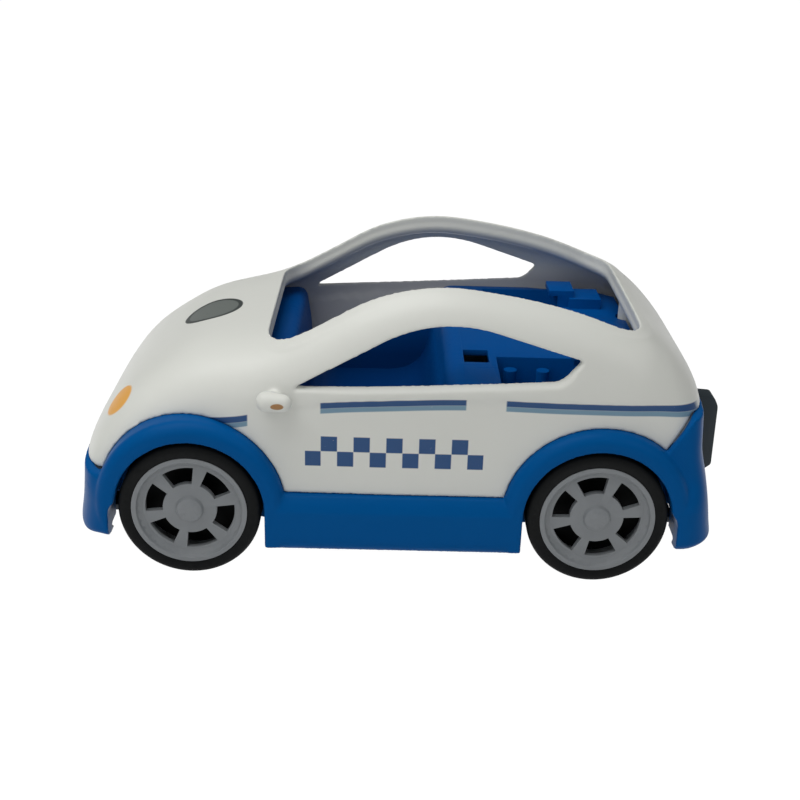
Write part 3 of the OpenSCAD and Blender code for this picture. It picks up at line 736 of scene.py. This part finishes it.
# Prints: where the belt stripes run and their two bands below the belt line, the chequers and the bonnet's disc
STRIPE_RUNS = ((-28.5, 26.0), (41.0, 116.0), (-79.0, -56.0))
STRIPE_BANDS = ((0.0, 2.5), (2.5, 4.4))
CHEQUER, CHEQUER_COUNT, CHEQUER_X, CHEQUER_Z = 6.2, 11, -34.5, 52.2
DISC_X, DISC_R = -76.5, 12.0


def white_finish():
    """White moulding with all its prints."""
    finish = Finish("white_shell_plastic", WHITE, 0.34, Specular_IOR_Level=0.35)
    x, y, z = finish.axes()
    side = abs(y)
    out_x, out_y, out_z = finish.parts(finish.node("ShaderNodeTexCoord", out="Normal"))
    outward = finish.node("ShaderNodeMath", {"operation": "SIGN"}, {0: y}) * out_y
    on_flank = outward.over(0.45, 0.2)
    on_top = out_z.over(0.1, 0.1)
    # Belt stripes under the windows: a dark band over a pale one
    first, last, low, high = BELT[0][0], BELT[-1][0], 60.0, 80.0
    belt = finish.node("ShaderNodeFloatCurve", {
        "curve": [((px - first) / (last - first), (pz - low) / (high - low)) for px, pz in BELT]}, {
        "Value": (x - first) * (1 / (last - first))}) * (high - low) + low
    under = belt - z
    door, rear, wing = (x.over(start, 0.5) * (1 - x.over(end, 0.5)) for start, end in STRIPE_RUNS)
    run = door.most(rear).most(wing) * on_flank
    dark, pale = (run * under.over(top, 0.35) * (1 - under.over(bottom, 0.35)) for top, bottom in STRIPE_BANDS)
    # Two rows of chequers on the doors
    square, start, middle = CHEQUER, CHEQUER_X, CHEQUER_Z
    row = z.over(middle, 0.25)
    even = finish.node("ShaderNodeMath", {"operation": "PINGPONG"}, {0: x - start + square / 2, 1: square})
    chequer = abs(row - even.over(square / 2, 0.25))
    chequer = chequer * x.over(start + 0.2, 0.1) * (1 - x.over(start - 0.2 + CHEQUER_COUNT * square, 0.1))
    chequer = chequer * z.over(middle - square, 0.25) * (1 - z.over(middle + square, 0.25)) * on_flank
    # Amber lamps on the nose
    u = ((x + 109.0) * 0.59 + (z - 62.2) * 0.81) * (1 / 7.2)
    v = (side - 43.5) * (1 / 6.6)
    amber = 1 - (u * u + v * v).over(1.0, 0.25)
    amber = amber * (1 - x.over(-95.0, 0.5)) * (1 - out_x.over(-0.05, 0.05))
    # Plain round plate print on the bonnet
    bx, by = (x - DISC_X) * (1 / DISC_R), y * (1 / DISC_R)
    ring = bx * bx + by * by
    plate = (1 - ring.over(1.0, 0.06)) * z.over(70.0, 1.0) * on_top
    edge = plate * ring.over(0.72, 0.05)
    # Mark on the mirrors
    mx, mz = (x + 44.0) * (1 / 2.4), (z - 73.2) * (1 / 1.2)
    mark = (1 - (mx * mx + mz * mz).over(1.0, 0.3)) * side.over(70.5, 0.4)
    prints = [(dark.most(chequer), PRINT_DARK), (pale, PRINT_LIGHT), (amber, PRINT_ORANGE), (plate, DISC_GREY),
              (edge, DISC_DARK), (mark, PRINT_BROWN)]
    # Painted shade: the inner faces of the moulding's flanks, low down, are coloured a darker grey
    inside = (1 - outward.over(-0.2, 0.3)) * (1 - z.over(86.0, 8.0)) * side.over(40.0, 4.0)
    moulded_plastic(finish, finish.mixed(inside, WHITE, WHITE_PAINTED_SHADE), WHITE_WORN, 0.36, 0.10, prints)
    return finish.material


def blue_finish(name, colour, rough, low_shade=None):
    """Blue moulding; the optional last colour is painted shade, darkening it low in the footwell and on the seat."""
    finish = Finish(name, colour, rough, Specular_IOR_Level=0.04)
    if low_shade:
        # Painted shade: the colour darkens towards the bottom of the tub
        height = finish.axes()[2]
        colour = finish.mixed(0.85 * (1 - height.over(54.0, 20.0)), colour, low_shade)
    moulded_plastic(finish, colour, BLUE_WORN, rough, 0.12)
    return finish.material


def plain_finish(name, colour, worn, rough, grain, shine):
    """Moulding of one colour."""
    finish = Finish(name, colour, rough, Specular_IOR_Level=shine)
    moulded_plastic(finish, colour, worn, rough, grain)
    return finish.material


def steel_finish(name, rough):
    """Drawn steel."""
    finish = Finish(name, linear(186, 188, 190), rough, Metallic=1.0)
    drawn = finish.noise(0.6, 3, 0.6, (1.0, 0.05, 1.0))
    finish.give("Roughness", rough - 0.08 + 0.2 * drawn)
    finish.give("Base Color", finish.mixed(0.5 * finish.noise(8, 3), linear(190, 192, 194), linear(140, 140, 138)))
    finish.bump(drawn, 0.15, 0.02)
    return finish.material


white = white_finish()
blue = blue_finish("blue_body_plastic", BLUE, 0.34)
# The tub's last colour is painted shade low in the footwell and on the seat
tub_blue = blue_finish("blue_tub_plastic", linear(0, 76, 148), 0.36, linear(2, 34, 88))
rubber = plain_finish("black_tyre_plastic", linear(10, 12, 13), linear(30, 32, 32), 0.55, 0.35, 0.12)
silver = plain_finish("silver_rim_plastic", linear(130, 134, 137), linear(160, 162, 164), 0.36, 0.12, 0.4)
dark_grey = plain_finish("grey_buffer_plastic", linear(36, 47, 53), linear(68, 76, 80), 0.45, 0.2, 0.3)
base_grey = plain_finish("grey_base_plastic", linear(64, 70, 76), linear(100, 106, 110), 0.5, 0.25, 0.3)
steel = steel_finish("axle_steel", 0.3)
screw_steel = steel_finish("screw_steel", 0.38)


# ---- the car

finished(make_shell(), "white_shell", "car_body", "white_shell", white, "upper_shell")
finished(make_lower_body(), "blue_body", "car_body", "blue_body", blue, "lower_body")
finished(eased_copy("cabin_tub", 0.7, 3), "seat_tub", "car_body", "tub", tub_blue, "cabin_tub")
finished(eased_copy("base_plate", 0.3), "floor_plate", "car_body", "base", base_grey, "base_plate")
finished(eased_copy("rear_buffer", 0.8, 3), "tail_buffer", "car_body", "buffer", dark_grey, "rear_buffer")
for end, body in (("front", "front_wheelset"), ("rear", "rear_wheelset")):
    finished(eased_copy(end + "_axle", 0.2), end + "_axle_rod", body, "axle", steel, end + "_axle")
    finished(eased_copy(end + "_axle_keeper", 0.3), end + "_axle_strap", "car_body", "base", base_grey,
             end + "_axle_keeper")
    for side in ("left", "right"):
        finished(eased_copy("rim_%s_%s" % (end, side), 0.35), "wheel_%s_%s" % (end, side), body, "rim", silver,
                 "rim_%s_%s" % (end, side))
        finished(eased_copy("tyre_%s_%s" % (end, side), 0.3), "tread_%s_%s" % (end, side), body, "tyre", rubber,
                 "tyre_%s_%s" % (end, side))
finished(eased_copy("keeper_screws", 0.15), "strap_screws", "car_body", "screw", screw_steel, "keeper_screws")
finished(eased_copy("body_screws", 0.15), "floor_screws", "car_body", "screw", screw_steel, "body_screws")


# ---- stage, light and camera

FLOOR_GREY, FLOOR_GLOW, FLOOR_GLOW_SHARE = (0.86, 0.86, 0.86, 1), 1.12, 0.9
SKY, SKY_STRENGTH = (0.97, 0.985, 1.0, 1), 0.15
LAMP_AIM = (0, 0, 0.05)
SENSOR, LENS = 36.0, 55.2
EYE, EYE_AIM, EYE_ROLL = (-10.92, -484.89, 254.75), (-4.15, 0.0, 45.9), 1.7


def stage_finish():
    """Pale floor that looks white and keeps the shadow."""
    material = bpy.data.materials.new("pale_floor")
    material.use_nodes = True
    tree = material.node_tree
    tree.nodes.clear()
    out = tree.nodes.new("ShaderNodeOutputMaterial")
    mix = tree.nodes.new("ShaderNodeMixShader")
    matt = tree.nodes.new("ShaderNodeBsdfDiffuse")
    glow = tree.nodes.new("ShaderNodeEmission")
    path = tree.nodes.new("ShaderNodeLightPath")
    seen = tree.nodes.new("ShaderNodeMath")
    share = tree.nodes.new("ShaderNodeMath")
    matt.inputs["Color"].default_value = FLOOR_GREY
    glow.inputs["Color"].default_value = (1, 1, 1, 1)
    glow.inputs["Strength"].default_value = FLOOR_GLOW
    seen.operation, share.operation = "MAXIMUM", "MULTIPLY"
    share.inputs[1].default_value = FLOOR_GLOW_SHARE
    tree.links.new(path.outputs["Is Camera Ray"], seen.inputs[0])
    tree.links.new(path.outputs["Is Glossy Ray"], seen.inputs[1])
    tree.links.new(seen.outputs[0], share.inputs[0])
    tree.links.new(share.outputs[0], mix.inputs[0])
    tree.links.new(matt.outputs[0], mix.inputs[1])
    tree.links.new(glow.outputs[0], mix.inputs[2])
    tree.links.new(mix.outputs[0], out.inputs[0])
    return material


def build_stage():
    """Floor, colour handling and a white surround that lights the car only a little."""
    deselect()
    bpy.ops.mesh.primitive_plane_add(size=12, location=(0, 0, -0.0002))
    floor = bpy.context.object
    floor.name = "floor"
    bpy.ops.object.transform_apply(location=True, rotation=False, scale=False)
    floor.data.materials.append(stage_finish())
    scene = bpy.context.scene
    scene.view_settings.view_transform = "Standard"
    world = bpy.data.worlds.new("studio")
    scene.world = world
    world.use_nodes = True
    tree = world.node_tree
    tree.nodes.clear()
    out = tree.nodes.new("ShaderNodeOutputWorld")
    mix = tree.nodes.new("ShaderNodeMixShader")
    fill = tree.nodes.new("ShaderNodeBackground")
    seen = tree.nodes.new("ShaderNodeBackground")
    path = tree.nodes.new("ShaderNodeLightPath")
    fill.inputs["Color"].default_value = SKY
    fill.inputs["Strength"].default_value = SKY_STRENGTH
    seen.inputs["Color"].default_value = (1, 1, 1, 1)
    seen.inputs["Strength"].default_value = 1.0
    tree.links.new(path.outputs["Is Camera Ray"], mix.inputs[0])
    tree.links.new(fill.outputs[0], mix.inputs[1])
    tree.links.new(seen.outputs[0], mix.inputs[2])
    tree.links.new(mix.outputs[0], out.inputs[0])


def lamp(name, spot, size, power):
    """Square area lamp aimed at the car."""
    light = bpy.data.lights.new(name, "AREA")
    light.shape = "RECTANGLE"
    light.size = light.size_y = size
    light.energy = power
    holder = bpy.data.objects.new(name, light)
    bpy.context.collection.objects.link(holder)
    holder.location = spot
    holder.rotation_euler = (Vector(LAMP_AIM) - Vector(spot)).to_track_quat("-Z", "Y").to_euler()


def set_camera():
    """Camera at the photographed view."""
    data = bpy.data.cameras.new("camera")
    holder = bpy.data.objects.new("camera", data)
    bpy.context.collection.objects.link(holder)
    data.sensor_width, data.lens = SENSOR, LENS
    data.clip_start, data.clip_end = 0.01, 50
    eye, aim = Vector(EYE) * MM, Vector(EYE_AIM) * MM
    turn = (aim - eye).to_track_quat("-Z", "Y").to_matrix().to_4x4()
    holder.matrix_world = Matrix.Translation(eye) @ turn @ Matrix.Rotation(math.radians(EYE_ROLL), 4, "Z")
    bpy.context.scene.camera = holder


build_stage()
lamp("overhead", (-0.26, -0.12, 0.88), 0.8, 5.5)
lamp("front fill", (-0.45, -0.75, 0.5), 0.5, 0.9)
lamp("rear fill", (0.6, -0.6, 0.6), 0.5, 0.9)
set_camera()
